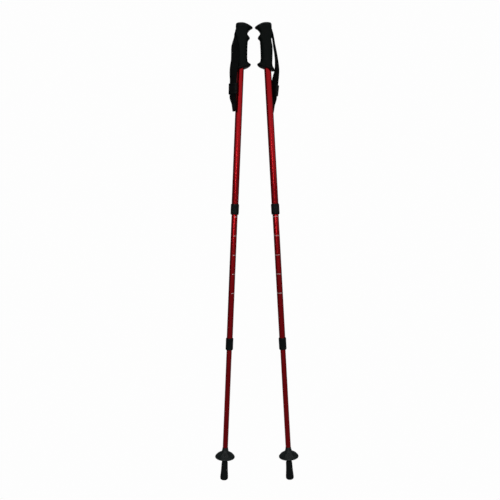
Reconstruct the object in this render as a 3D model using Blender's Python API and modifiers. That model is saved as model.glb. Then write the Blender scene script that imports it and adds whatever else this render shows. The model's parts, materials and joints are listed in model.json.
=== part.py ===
"""A pair of three-section telescopic trekking poles with inside twist locks.

Each pole is modelled in its own frame: its axis is local +Z, the height along
it (the station) is measured from the bottom of the rubber foot, local +X is
forward, where the beak of the grip points, and local Y is sideways. The right
pole is the left one turned half round about the world's Z, so the two stand
with their beaks together and their feet apart.
"""

import math

import bmesh
import bpy
from mathutils import Matrix, Vector

# ---- driving dimensions, in metres ----
TILT = math.radians(2.83)       # each pole leans towards the other
HALF_SPREAD = 0.0886            # half the distance between the feet
TURN = 24                       # sides of a round piece that shows
TURN_IN = 16                    # sides of a round piece inside

R_UPPER, R_UPPER_IN = 0.0090, 0.00835
R_MIDDLE, R_MIDDLE_IN = 0.0080, 0.00735
R_LOWER, R_LOWER_IN = 0.0070, 0.00635

Z_LOWER_TUBE = (0.0874, 0.4100)
Z_MIDDLE_TUBE = (0.3555, 0.8200)
Z_UPPER_TUBE = (0.7145, 1.1550)
Z_LOWER_COLLAR = (0.3520, 0.3840)
Z_UPPER_COLLAR = (0.7100, 0.7380)

GAP = 0.0003                    # between pieces that touch
PIN_X, PIN_Z = -0.0105, 1.1790  # the strap's cross pin
PIN_R, PIN_HALF = 0.0020, 0.0119
SLOT_HALF = 0.0105              # half the width of the strap's slot
CAP_Z = 1.1880                  # split between the grip and its cap

WEB_WIDE, WEB_THICK = 0.0200, 0.0018

R_FLAT = 0.0088                 # the flat ring under the rubber foot


# ---- scene ----
for old in list(bpy.data.objects):
    bpy.data.objects.remove(old, do_unlink=True)

poles = bpy.data.collections.new("trekking_poles")
cutters = bpy.data.collections.new("cutters")
bpy.context.scene.collection.children.link(poles)
bpy.context.scene.collection.children.link(cutters)


def material(name, colour, roughness, metallic=0.0):
    m = bpy.data.materials.new(name)
    m.use_nodes = True
    bsdf = m.node_tree.nodes["Principled BSDF"]
    bsdf.inputs["Base Color"].default_value = (*colour, 1.0)
    bsdf.inputs["Roughness"].default_value = roughness
    bsdf.inputs["Metallic"].default_value = metallic
    m.diffuse_color = (*colour, 1.0)
    return m


RED = material("red_tube", (0.26, 0.004, 0.007), 0.25, 0.6)
GRIP = material("grip_plastic", (0.008, 0.011, 0.010), 0.55)
COLLAR = material("collar_plastic", (0.010, 0.012, 0.012), 0.45)
WEBBING = material("webbing", (0.008, 0.010, 0.010), 0.85)
RUBBER = material("foot_rubber", (0.010, 0.011, 0.011), 0.75)
NYLON = material("lock_nylon", (0.55, 0.55, 0.52), 0.5)
STEEL = material("steel", (0.55, 0.55, 0.56), 0.3, 1.0)
CARBIDE = material("tip_carbide", (0.25, 0.25, 0.26), 0.35, 1.0)


def add(name, mesh, mat, parent, collection=poles, at=(0, 0, 0)):
    obj = bpy.data.objects.new(name, mesh)
    collection.objects.link(obj)
    obj.parent = parent
    obj.location = at
    if mat:
        mesh.materials.append(mat)
    if collection is cutters:
        obj.hide_render = True
        obj.display_type = "WIRE"
    return obj


def turned(name, profile, mat, parent, steps=TURN, closed=False, collection=poles):
    """A turned piece. The profile is (radius, station) pairs at +X, down the outer side."""
    bm = bmesh.new()
    points = [bm.verts.new((r, 0.0, z)) for r, z in profile]
    for a, b in zip(points, points[1:]):
        bm.edges.new((a, b))
    if closed:
        bm.edges.new((points[-1], points[0]))
    mesh = bpy.data.meshes.new(name)
    bm.to_mesh(mesh)
    bm.free()
    obj = add(name, mesh, mat, parent, collection)
    screw = obj.modifiers.new("turn", "SCREW")
    screw.axis = "Z"
    screw.angle = 2 * math.pi
    screw.steps = screw.render_steps = steps
    screw.use_merge_vertices = True
    screw.merge_threshold = 0.00001
    screw.use_smooth_shade = True
    return obj


def tube(name, r_out, r_in, z, mat, parent, steps=TURN):
    low, high = z
    return turned(
        name,
        [(r_out, high), (r_out, low), (r_in, low), (r_in, high)],
        mat, parent, steps, closed=True,
    )


def cylinder_cutter(name, radius, low, high, parent, centre=(0.0, 0.0), segments=TURN_IN):
    bm = bmesh.new()
    bmesh.ops.create_cone(
        bm, cap_ends=True, segments=segments, radius1=radius, radius2=radius, depth=high - low,
        matrix=Matrix.Translation((centre[0], centre[1], (low + high) / 2)),
    )
    mesh = bpy.data.meshes.new(name)
    bm.to_mesh(mesh)
    bm.free()
    return add(name, mesh, None, parent, cutters)


def prism_cutter(name, outline, half, parent):
    """A flat XZ outline, thickened by half each way along Y."""
    bm = bmesh.new()
    face = bm.faces.new([bm.verts.new((x, -half, z)) for x, z in outline])
    grown = bmesh.ops.extrude_face_region(bm, geom=[face])["geom"]
    moved = [v for v in grown if isinstance(v, bmesh.types.BMVert)]
    bmesh.ops.translate(bm, vec=(0, 2 * half, 0), verts=moved)
    bmesh.ops.recalc_face_normals(bm, faces=bm.faces)
    mesh = bpy.data.meshes.new(name)
    bm.to_mesh(mesh)
    bm.free()
    return add(name, mesh, None, parent, cutters)


def cut(obj, cutter):
    m = obj.modifiers.new("cut_" + cutter.name, "BOOLEAN")
    m.operation = "DIFFERENCE"
    m.solver = "EXACT"
    m.object = cutter


# ---- the grip: a loft of rounded sections ----
# (station on the axis, slope of the section, front, back, half thickness, squareness)
GRIP_SECTIONS = [
    (1.0835, 0.34, 0.0222, 0.0166, 0.0132, 2.3),
    (1.0848, 0.34, 0.0246, 0.0178, 0.0146, 2.3),
    (1.0868, 0.34, 0.0262, 0.0180, 0.0150, 2.3),
    (1.0895, 0.33, 0.0260, 0.0170, 0.0149, 2.3),
    (1.0930, 0.31, 0.0226, 0.0143, 0.0142, 2.3),
    (1.0975, 0.27, 0.0191, 0.0130, 0.0138, 2.3),
    (1.1035, 0.20, 0.0174, 0.0131, 0.0139, 2.3),
    (1.1130, 0.11, 0.0166, 0.0141, 0.0143, 2.3),
    (1.1260, 0.04, 0.0162, 0.0151, 0.0147, 2.3),
    (1.1410, 0.0, 0.0160, 0.0158, 0.0147, 2.5),
    (1.1500, 0.0, 0.0161, 0.0162, 0.0146, 2.7),
    (1.1560, 0.0, 0.0165, 0.0160, 0.0145, 2.7),
    (1.1595, 0.0, 0.0184, 0.0162, 0.0144, 2.9),
    (1.1625, 0.0, 0.0210, 0.0163, 0.0143, 3.0),
    (1.1655, 0.0, 0.0193, 0.0171, 0.0142, 3.8),
    (1.1695, 0.0, 0.0156, 0.0180, 0.0142, 4.4),
    (1.1735, 0.0, 0.0142, 0.0184, 0.0142, 4.6),
    (1.1778, 0.0, 0.0151, 0.0182, 0.0142, 4.4),
    (1.1820, 0.0, 0.0178, 0.0174, 0.0142, 3.6),
    (1.1855, 0.0, 0.0214, 0.0162, 0.0142, 3.0),
    (CAP_Z, 0.0, 0.0256, 0.0163, 0.0142, 3.0),
]
CAP_SECTIONS = [
    (CAP_Z + GAP, 0.0, 0.0266, 0.0163, 0.0142, 3.0),
    (1.1898, 0.0, 0.0271, 0.0163, 0.0142, 3.0),
    (1.1917, 0.0, 0.0250, 0.0163, 0.0140, 2.9),
    (1.1942, 0.0, 0.0208, 0.0163, 0.0135, 2.8),
    (1.1968, 0.0, 0.0157, 0.0159, 0.0124, 2.7),
    (1.1988, 0.0, 0.0108, 0.0143, 0.0104, 2.5),
    (1.2002, 0.0, 0.0064, 0.0108, 0.0073, 2.3),
    (1.2010, 0.0, 0.0026, 0.0060, 0.0036, 2.2),
]
AROUND = 24


def section(row, sides):
    """Points round one section of the grip; the front half and the back half are unlike."""
    z, slope, front, back, half, power = row
    points = []
    for i in range(sides):
        a = 2 * math.pi * i / sides
        c, s = math.cos(a), math.sin(a)
        x = math.copysign(abs(c) ** (2 / power), c) * (front if c > 0 else back)
        y = math.copysign(abs(s) ** (2 / power), s) * half
        points.append((x, y, z + slope * x))
    return points


def loft(name, rows, mat, parent, top=None, sides=AROUND):
    bm = bmesh.new()
    rings = [[bm.verts.new(p) for p in section(row, sides)] for row in rows]
    for lower, upper in zip(rings, rings[1:]):
        for i in range(sides):
            j = (i + 1) % sides
            bm.faces.new((lower[i], lower[j], upper[j], upper[i]))
    bm.faces.new(list(reversed(rings[0])))
    if top is None:
        bm.faces.new(rings[-1])
    else:
        peak = bm.verts.new(top)
        for i in range(sides):
            bm.faces.new((rings[-1][i], rings[-1][(i + 1) % sides], peak))
    for f in bm.faces:
        f.smooth = True
    mesh = bpy.data.meshes.new(name)
    bm.to_mesh(mesh)
    bm.free()
    mesh.set_sharp_from_angle(angle=math.radians(40))
    return add(name, mesh, mat, parent)


# ---- the strap: one length of webbing, folded round the pin, its two plies side by side ----
# rows: x, y, station of the middle between the plies, twist in degrees, half the plies' spacing
STRAP_ROUTE = {
    "left": [
        (PIN_X, 0.0, PIN_Z, 0.0, 0.0033),
        (-0.0146, -0.0001, 1.1722, 0.0, 0.0027),
        (-0.0172, -0.0002, 1.1645, 0.0, 0.0014),
        (-0.0190, -0.0045, 1.1550, 15.0, 0.00125),
        (-0.0172, -0.0130, 1.1430, 42.0, 0.00125),
        (-0.0156, -0.0162, 1.1310, 66.0, 0.0012),
        (-0.0146, -0.0180, 1.1170, 84.0, 0.0012),
        (-0.0146, -0.0182, 1.1000, 90.0, 0.0012),
        (-0.0163, -0.0183, 1.0850, 84.0, 0.0012),
        (-0.0170, -0.0178, 1.0740, 75.0, 0.0012),
        (-0.0171, -0.0163, 1.0645, 64.0, 0.0012),
        (-0.0170, -0.0142, 1.0540, 55.0, 0.00108),
        (-0.0168, -0.0128, 1.0300, 52.0, 0.00105),
        (-0.0160, -0.0120, 1.0090, 50.0, 0.00105),
        (-0.0130, -0.0098, 0.9950, 32.0, 0.00105),
        (-0.0119, -0.0070, 0.9750, 14.0, 0.00105),
    ],
    "right": [
        (PIN_X, 0.0, PIN_Z, 0.0, 0.0033),
        (-0.0148, 0.0, 1.1722, 0.0, 0.0027),
        (-0.0175, 0.0, 1.1640, 0.0, 0.0014),
        (-0.0189, 0.0, 1.1530, 1.0, 0.00125),
        (-0.0201, 0.0, 1.1410, 2.0, 0.0013),
        (-0.0221, -0.0003, 1.1260, 5.0, 0.0012),
        (-0.0235, -0.0010, 1.1110, 9.0, 0.0012),
        (-0.0241, -0.0022, 1.0950, 16.0, 0.0013),
        (-0.0237, -0.0042, 1.0800, 26.0, 0.0013),
        (-0.0210, -0.0080, 1.0670, 40.0, 0.0012),
        (-0.0182, -0.0119, 1.0550, 50.0, 0.00108),
        (-0.0168, -0.0138, 1.0420, 52.0, 0.00105),
        (-0.0151, -0.0143, 1.0260, 54.0, 0.00105),
        (-0.0108, -0.0150, 1.0090, 56.0, 0.00105),
        (-0.0052, -0.0154, 0.9955, 62.0, 0.00105),
        (-0.0008, -0.0150, 0.9760, 68.0, 0.00105),
    ],
}
KEEPER_Z = (1.0175, 1.0445)
KEEPER_SLIDE = 0.005
STRAP_STEPS = 42


def smooth_route(rows, count):
    """Evenly spaced rows of a Catmull-Rom curve through the given rows."""
    rows = [Vector(r[:3]) for r in rows], [tuple(r[3:]) for r in rows]
    places, extras = rows
    dense = []
    last = len(places) - 1
    for i in range(last):
        p = [places[max(i - 1, 0)], places[i], places[i + 1], places[min(i + 2, last)]]
        e = [extras[max(i - 1, 0)], extras[i], extras[i + 1], extras[min(i + 2, last)]]
        for k in range(24):
            t = k / 24

            def mix(a, b, c, d):
                return 0.5 * (2 * b + (c - a) * t + (2 * a - 5 * b + 4 * c - d) * t * t
                              + (3 * b - a - 3 * c + d) * t ** 3)

            dense.append((mix(*p), [mix(*column) for column in zip(*e)]))
    dense.append((places[-1], list(extras[-1])))
    lengths = [0.0]
    for (a, _), (b, _) in zip(dense, dense[1:]):
        lengths.append(lengths[-1] + (b - a).length)
    out = []
    j = 0
    for k in range(count + 1):
        want = lengths[-1] * k / count
        while j < len(dense) - 2 and lengths[j + 1] < want:
            j += 1
        f = (want - lengths[j]) / (lengths[j + 1] - lengths[j])
        out.append((
            dense[j][0].lerp(dense[j + 1][0], f),
            [a + (b - a) * f for a, b in zip(dense[j][1], dense[j + 1][1])],
        ))
    return out


def straighten(route):
    """The stretch that the keeper slides on is made dead straight and untwisted."""
    low = KEEPER_Z[0] - KEEPER_SLIDE - 0.0008
    high = KEEPER_Z[1] + KEEPER_SLIDE + 0.0012
    inside = [i for i, (p, _) in enumerate(route) if low <= p.z <= high]
    # one row more at each end, so that the stretch reaches past the keeper's travel
    a, b = inside[0] - 1, inside[-1] + 1
    start, end = route[a][0].copy(), route[b][0].copy()
    twist = (route[a][1][0] + route[b][1][0]) / 2
    for i in range(a, b + 1):
        f = (i - a) / (b - a)
        route[i] = (start.lerp(end, f), [twist, 0.00105])
    return route, start, end, twist


def frames(route):
    """Place, width direction and face direction at each row; the face direction points to the pole."""
    out = []
    for i, (p, (twist, spread)) in enumerate(route):
        ahead = route[min(i + 1, len(route) - 1)][0] - route[max(i - 1, 0)][0]
        ahead.normalize()
        a = math.radians(twist)
        wide = Vector((-math.sin(a), math.cos(a), 0.0))
        wide = (wide - ahead * wide.dot(ahead)).normalized()
        face = wide.cross(ahead).normalized()
        if face.dot(Vector((math.cos(a), math.sin(a), 0))) < 0:
            face = -face
        out.append((p, wide, face, spread))
    return out


def strap_line(side):
    """The centreline of the whole length of webbing: up the outer ply, over the pin, down the inner ply."""
    route, start, end, twist = straighten(smooth_route(STRAP_ROUTE[side], STRAP_STEPS))
    rows = frames(route)
    first = next(i for i, (p, *_r) in enumerate(rows) if (p - rows[0][0]).length > 0.0030)
    outer = [(p - face * h, wide) for p, wide, face, h in rows[first:]]
    inner = [(p + face * h, wide) for p, wide, face, h in rows[first:]]
    top, wide, face, h = rows[0]
    up = -(rows[1][0] - rows[0][0]).normalized()
    bend = []
    for k in range(9):
        a = math.pi * k / 8
        bend.append((top - face * (h * math.cos(a)) + up * (h * math.sin(a)), wide))
    line = list(reversed(outer)) + bend + inner
    return line, rows, (start, end, twist)


def strap(side, name, mat, parent, origin):
    line, rows, straight = strap_line(side)
    bm = bmesh.new()
    previous = None
    for i, (p, wide) in enumerate(line):
        p = p - origin
        pair = (bm.verts.new(p - wide * (WEB_WIDE / 2)), bm.verts.new(p + wide * (WEB_WIDE / 2)))
        # each face starts at the corner that gives both plies the same diagonals, so they twist alike
        if previous and i <= len(line) // 2:
            bm.faces.new((previous[0], previous[1], pair[1], pair[0]))
        elif previous:
            bm.faces.new((previous[1], pair[1], pair[0], previous[0]))
        previous = pair
    for f in bm.faces:
        f.smooth = True
    mesh = bpy.data.meshes.new(name)
    bm.to_mesh(mesh)
    bm.free()
    obj = add(name, mesh, mat, parent)
    solid = obj.modifiers.new("webbing", "SOLIDIFY")
    solid.thickness = WEB_THICK
    solid.offset = 0.0
    solid.use_even_offset = True
    return obj, straight


def keeper(name, straight, mat, parent, origin):
    """A flat plastic sleeve round both plies."""
    start, end, twist = straight
    ahead = (end - start).normalized()
    a = math.radians(twist)
    wide = Vector((-math.sin(a), math.cos(a), 0.0))
    wide = (wide - ahead * wide.dot(ahead)).normalized()
    face = wide.cross(ahead)
    high_f = (KEEPER_Z[1] - start.z) / (end.z - start.z)
    low_f = (KEEPER_Z[0] - start.z) / (end.z - start.z)
    top, bottom = start.lerp(end, high_f), start.lerp(end, low_f)
    middle, length = (top + bottom) / 2, (top - bottom).length
    half_w, half_f = WEB_WIDE / 2 + GAP, 0.00105 + WEB_THICK / 2 + GAP
    place = Matrix((
        (wide.x, face.x, ahead.x, middle.x - origin.x),
        (wide.y, face.y, ahead.y, middle.y - origin.y),
        (wide.z, face.z, ahead.z, middle.z - origin.z),
        (0, 0, 0, 1),
    ))
    # an oval sleeve: two outlines, the outer one crowned, the inner one the webbing's slot
    bm = bmesh.new()
    out, inn = [], []
    for i in range(24):
        t = 2 * math.pi * i / 24
        c, s = math.cos(t), math.sin(t)
        u = math.copysign(abs(c) ** 0.55, c) * (half_w + 0.0026)
        v = math.copysign(abs(s) ** 0.55, s) * (half_f + 0.0025)
        out.append((u, v))
    inn = [(half_w, -half_f), (half_w, half_f), (-half_w, half_f), (-half_w, -half_f)]
    levels = [(-0.5, 0.90), (-0.43, 1.0), (0.43, 1.0), (0.5, 0.90)]
    rings = []
    for z, k in levels:
        rings.append([bm.verts.new((u * (1 - (1 - k) * 0.6), v * k, z * length)) for u, v in out])
    for lower, upper in zip(rings, rings[1:]):
        for i in range(24):
            j = (i + 1) % 24
            bm.faces.new((lower[i], lower[j], upper[j], upper[i]))
    bm.faces.new(list(reversed(rings[0])))
    bm.faces.new(rings[-1])
    bm.transform(place)
    bmesh.ops.recalc_face_normals(bm, faces=bm.faces)
    mesh = bpy.data.meshes.new(name)
    bm.to_mesh(mesh)
    bm.free()
    obj = add(name, mesh, mat, parent)
    slot = bmesh.new()
    bmesh.ops.create_cube(slot, size=1.0, matrix=place @ Matrix.Diagonal((2 * half_w, 2 * half_f, length * 1.4, 1)))
    bmesh.ops.recalc_face_normals(slot, faces=slot.faces)
    slot_mesh = bpy.data.meshes.new(name + "_slot")
    slot.to_mesh(slot_mesh)
    slot.free()
    cut(obj, add(name + "_slot", slot_mesh, None, parent, cutters))
    return obj


# ---- one twist lock: plug, spindle, cone nut and split sleeve, above a tube's top end ----
def twist_lock(prefix, z, r_out, r_in, r_screw, empty):
    turned(prefix + "plug", [
        (r_screw + GAP, z + 0.0028), (r_out, z + 0.0028), (r_out, z + GAP), (r_in - GAP, z + GAP),
        (r_in - GAP, z - 0.0205), (r_in - 0.0012, z - 0.0220), (0.0, z - 0.0220), (0.0, z - 0.0145),
        (r_screw + GAP, z - 0.0145),
    ], NYLON, empty, TURN_IN, closed=True)
    turned(prefix + "spindle", [
        (0.0, z + 0.0470), (r_screw + 0.0009, z + 0.0470), (r_screw + 0.0014, z + 0.0465),
        (r_screw + 0.0014, z + 0.0445), (r_screw, z + 0.0445), (r_screw, z - 0.0135), (0.0, z - 0.0140),
    ], STEEL, empty, TURN_IN)
    turned(prefix + "cone_nut", [
        (r_screw + GAP, z + 0.0405), (r_out - 0.00105, z + 0.0405), (r_out - 0.00105, z + 0.0375),
        (r_out - 0.00320, z + 0.0160), (r_screw + GAP, z + 0.0160),
    ], NYLON, empty, TURN_IN, closed=True)
    sleeve = turned(prefix + "expander", [
        (r_out - 0.0006, z + 0.0375), (r_out, z + 0.0365), (r_out, z + 0.0055), (r_out - 0.0006, z + 0.0045),
        (r_screw + 0.0006, z + 0.0045), (r_screw + 0.0006, z + 0.0130), (r_out - 0.00300, z + 0.0130),
        (r_out - 0.00065, z + 0.0375),
    ], NYLON, empty, TURN_IN, closed=True)
    slit = bmesh.new()
    bmesh.ops.create_cube(slit, size=1.0, matrix=Matrix.Translation((r_out / 2 + 0.002, 0, z + 0.021))
                          @ Matrix.Diagonal((r_out + 0.004, 0.0014, 0.05, 1)))
    slit_mesh = bpy.data.meshes.new(prefix + "slit")
    slit.to_mesh(slit_mesh)
    slit.free()
    cut(sleeve, add(prefix + "slit", slit_mesh, None, empty, cutters))


def collar(name, z, r_big, r_tube, r_low, empty, lip):
    """A moulded collar: its lower lip closes under the tube that it sits on."""
    low, high = z
    turned(name, [
        (r_tube, high), (r_big - 0.0012, high), (r_big, high - 0.0018),
        (r_big, low + 0.0022), (r_big - 0.0014, low),
        (r_low, low), (r_low, low + lip), (r_tube, low + lip),
    ], COLLAR, empty, TURN, closed=True)


for side, sign in (("left", 1), ("right", -1)):
    pole = bpy.data.objects.new(side + "_pole", None)
    poles.objects.link(pole)
    # Ry(TILT) leans +Z towards +X; the right pole is then turned half round about Z.
    turn = Matrix.Rotation(0.0 if sign > 0 else math.pi, 4, "Z")
    pole.matrix_world = turn @ Matrix.Translation((-HALF_SPREAD, 0, R_FLAT * math.sin(TILT))) @ Matrix.Rotation(TILT, 4, "Y")
    p = side + "_"

    # rubber foot, with the socket that holds the tip
    turned(p + "rubber_foot", [
        (0.0052, 0.0495), (0.0062, 0.0495), (0.0076, 0.0476), (0.0083, 0.0447), (0.0090, 0.0275),
        (0.0103, 0.0105), (0.0106, 0.0070), (0.0103, 0.0022), (R_FLAT, 0.0),
        (0.0, 0.0), (0.0, 0.0112), (0.0030, 0.0112), (0.0030, 0.0233), (0.0046, 0.0235),
    ], RUBBER, pole, TURN, closed=True)
    turned(p + "metal_tip", [
        (0.0, 0.0330), (0.0019, 0.0328), (0.0019, 0.0234), (0.0025, 0.0232), (0.0025, 0.0150),
        (0.0013, 0.0119), (0.0, 0.0127),
    ], CARBIDE, pole, TURN_IN)
    turned(p + "tip_shaft", [
        (0.0, 0.1070), (0.0056, 0.1070), (0.0060, 0.1060), (0.0060, 0.0874), (0.0056, 0.0868),
        (0.0056, 0.0545), (0.0048, 0.0505), (0.0040, 0.0240), (0.0022, 0.0240), (0.0022, 0.0335),
        (0.0, 0.0335),
    ], COLLAR, pole, TURN_IN)
    turned(p + "basket", [
        (0.0061, 0.0870), (0.0072, 0.0870), (0.0093, 0.0774), (0.0108, 0.0752), (0.0150, 0.0735),
        (0.0205, 0.0703), (0.0250, 0.0660), (0.0263, 0.0628), (0.0256, 0.0606), (0.0243, 0.0622),
        (0.0190, 0.0670), (0.0090, 0.0688), (0.0080, 0.0550), (0.0061, 0.0550),
    ], RUBBER, pole, TURN, closed=True)

    # tubes
    tube(p + "lower_tube", R_LOWER, R_LOWER_IN, Z_LOWER_TUBE, RED, pole)
    tube(p + "middle_tube", R_MIDDLE, R_MIDDLE_IN, Z_MIDDLE_TUBE, RED, pole)
    tube(p + "upper_tube", R_UPPER, R_UPPER_IN, Z_UPPER_TUBE, RED, pole)

    # collars
    collar(p + "lower_collar", Z_LOWER_COLLAR, 0.0099, R_MIDDLE + GAP, R_LOWER + GAP, pole, 0.0032)
    collar(p + "upper_collar", Z_UPPER_COLLAR, 0.0108, R_UPPER + GAP, R_MIDDLE + GAP, pole, 0.0042)

    # locks inside the tubes
    twist_lock(p + "lower_", Z_LOWER_TUBE[1], R_LOWER, R_LOWER_IN, 0.0024, pole)
    twist_lock(p + "upper_", Z_MIDDLE_TUBE[1], R_MIDDLE, R_MIDDLE_IN, 0.0028, pole)

    # grip, cap and pin
    grip = loft(p + "grip", GRIP_SECTIONS, GRIP, pole)
    cut(grip, cylinder_cutter(p + "grip_bore", R_UPPER + GAP, 1.05, 1.1575, pole, segments=TURN))
    cut(grip, prism_cutter(p + "strap_slot", [
        (-0.0058, CAP_Z - 0.0012), (-0.0300, CAP_Z - 0.0012), (-0.0300, 1.1300), (-0.0166, 1.1350),
        (-0.0128, 1.1530), (-0.0058, 1.1730),
    ], SLOT_HALF, pole))
    cut(grip, cylinder_cutter(p + "stem_bore", 0.0046, 1.1790, 1.2000, pole, centre=(0.0040, 0.0)))
    bore = cylinder_cutter(p + "pin_bore", PIN_R + GAP, -PIN_HALF - GAP, PIN_HALF + GAP, pole, segments=16)
    bore.matrix_local = Matrix.Translation((PIN_X, 0, PIN_Z)) @ Matrix.Rotation(math.pi / 2, 4, "X")
    cut(grip, bore)

    cap = loft(p + "grip_cap", CAP_SECTIONS, GRIP, pole, top=(-0.0015, 0.0, 1.2013))
    stem_bm = bmesh.new()
    bmesh.ops.create_cone(stem_bm, cap_ends=True, segments=16, radius1=0.0038, radius2=0.0042, depth=0.0110,
                          matrix=Matrix.Translation((0.0040, 0, 1.1850)))
    stem_mesh = bpy.data.meshes.new(p + "cap_stem")
    stem_bm.to_mesh(stem_mesh)
    stem_bm.free()
    stem = add(p + "cap_stem", stem_mesh, None, pole, cutters)
    join = cap.modifiers.new("stem", "BOOLEAN")
    join.operation = "UNION"
    join.solver = "EXACT"
    join.object = stem

    # pin and strap turn about the pin's axis, so their origin is there
    origin = Vector((PIN_X, 0.0, PIN_Z))
    hinge = bpy.data.objects.new(p + "strap_hinge", None)
    poles.objects.link(hinge)
    hinge.parent = pole
    hinge.location = origin
    pin_bm = bmesh.new()
    bmesh.ops.create_cone(pin_bm, cap_ends=True, segments=16, radius1=PIN_R, radius2=PIN_R, depth=2 * PIN_HALF,
                          matrix=Matrix.Rotation(math.pi / 2, 4, "X"))
    pin_mesh = bpy.data.meshes.new(p + "strap_pin")
    pin_bm.to_mesh(pin_mesh)
    pin_bm.free()
    add(p + "strap_pin", pin_mesh, STEEL, hinge)
    _, straight = strap(side, p + "wrist_strap", WEBBING, hinge, origin)
    keeper(p + "strap_keeper", straight, COLLAR, hinge, origin)
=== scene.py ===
"""Looks of the pair of trekking poles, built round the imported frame."""

import json
import math

import bmesh
import bpy
from mathutils import Matrix, Vector

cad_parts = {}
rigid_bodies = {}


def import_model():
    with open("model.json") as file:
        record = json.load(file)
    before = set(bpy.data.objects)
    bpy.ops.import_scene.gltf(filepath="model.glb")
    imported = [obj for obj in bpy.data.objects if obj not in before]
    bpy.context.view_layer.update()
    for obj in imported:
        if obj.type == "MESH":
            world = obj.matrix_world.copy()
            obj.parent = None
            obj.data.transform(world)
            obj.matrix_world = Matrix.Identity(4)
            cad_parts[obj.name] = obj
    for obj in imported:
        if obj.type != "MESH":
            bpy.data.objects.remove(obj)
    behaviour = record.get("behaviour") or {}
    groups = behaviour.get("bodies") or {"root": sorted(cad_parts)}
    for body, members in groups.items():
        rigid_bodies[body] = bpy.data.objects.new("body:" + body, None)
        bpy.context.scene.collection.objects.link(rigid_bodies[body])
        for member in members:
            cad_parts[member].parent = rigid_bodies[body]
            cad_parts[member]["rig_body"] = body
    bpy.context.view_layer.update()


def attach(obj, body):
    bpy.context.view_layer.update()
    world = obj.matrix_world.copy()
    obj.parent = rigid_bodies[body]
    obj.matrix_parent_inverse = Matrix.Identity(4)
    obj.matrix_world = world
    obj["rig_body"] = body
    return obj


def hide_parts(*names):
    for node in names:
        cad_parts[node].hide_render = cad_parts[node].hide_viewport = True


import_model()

for old in list(bpy.data.objects):
    if "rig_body" not in old and not old.name.startswith("body:"):
        bpy.data.objects.remove(old, do_unlink=True)

# ---------------------------------------------------------------- dimensions
# Each pole's own frame: +Z up the pole from the bottom of its foot, +X forward.
TILT = math.radians(2.83)
HALF_SPREAD = 0.0886
R_FLAT = 0.0088
GAP = 0.0003

R_UPPER, R_UPPER_IN = 0.0090, 0.00835
R_MIDDLE, R_MIDDLE_IN = 0.0080, 0.00735
R_LOWER, R_LOWER_IN = 0.0070, 0.00635
Z_LOWER_TUBE = (0.0874, 0.4100)
Z_MIDDLE_TUBE = (0.3555, 0.8200)
Z_UPPER_TUBE = (0.7145, 1.1550)
Z_LOWER_COLLAR = (0.3520, 0.3840)
Z_UPPER_COLLAR = (0.7100, 0.7380)
PIN_X, PIN_Z = -0.0105, 1.1790
PIN_R, PIN_HALF = 0.0020, 0.0119
SLOT_HALF = 0.0105
CAP_Z = 1.1880
WEB_WIDE, WEB_THICK = 0.0200, 0.0018
KEEPER_Z = (1.0175, 1.0445)
KEEPER_SLIDE = 0.005
STRAP_STEPS = 42


def pole_matrix(side):
    turn = Matrix.Rotation(0.0 if side == "left" else math.pi, 4, "Z")
    return turn @ Matrix.Translation((-HALF_SPREAD, 0, R_FLAT * math.sin(TILT))) @ Matrix.Rotation(TILT, 4, "Y")


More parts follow.
